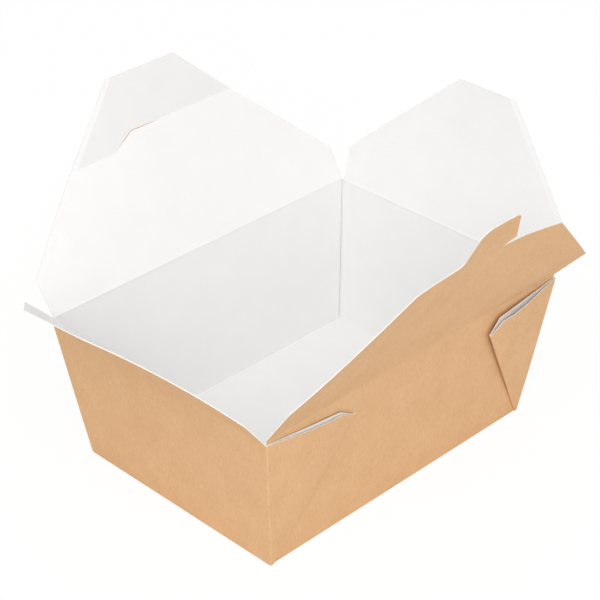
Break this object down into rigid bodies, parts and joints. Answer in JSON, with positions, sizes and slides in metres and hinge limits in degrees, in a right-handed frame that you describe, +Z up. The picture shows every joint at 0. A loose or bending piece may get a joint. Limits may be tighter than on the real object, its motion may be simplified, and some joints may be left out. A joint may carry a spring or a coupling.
{
  "type": "takeaway box",
  "caption": "Folded kraft board food box with flared walls, glued corner gussets and a folding lid whose hook tongue locks in a slit.",
  "frame": {"origin": "centre of the underside of the base panel", "axes": "+Z up out of the open top, +X along the long walls towards the right end, -Y towards the long wall with the tongue flap"},
  "size_m": [0.3148, 0.2653, 0.1897],
  "materials": {
    "kraft_tray": "matt brown kraft outside, white coated inside",
    "kraft_front_flap": "matt brown kraft outside, white coated inside",
    "kraft_back_flap": "white coated inside, matt brown kraft outside",
    "kraft_left_flap": "white coated inside, matt brown kraft outside",
    "kraft_right_flap": "white coated inside, matt brown kraft outside"
  },
  "bodies": {
    "tray": {"tray": "kraft_tray"},
    "front_flap": {"front_flap": "kraft_front_flap"},
    "back_flap": {"back_flap": "kraft_back_flap"},
    "left_flap": {"left_flap": "kraft_left_flap"},
    "right_flap": {"right_flap": "kraft_right_flap"}
  },
  "joints": [
    {"name": "front_flap_crease", "type": "hinge", "parent": "tray", "child": "front_flap", "pos_m": [0, -0.0807, 0.0896], "axis": [-1, 0, 0], "range_deg": [-92, 118]},
    {"name": "back_flap_crease", "type": "hinge", "parent": "tray", "child": "back_flap", "pos_m": [0, 0.0806, 0.0888], "axis": [1, 0, 0], "range_deg": [-91, 119]},
    {"name": "right_flap_crease", "type": "hinge", "parent": "tray", "child": "right_flap", "pos_m": [0.111, 0, 0.088], "axis": [0, -1, 0], "range_deg": [-96, 114]},
    {"name": "left_flap_crease", "type": "hinge", "parent": "tray", "child": "left_flap", "pos_m": [-0.111, 0, 0.088], "axis": [0, 1, 0], "range_deg": [-74, 136]}
  ]
}
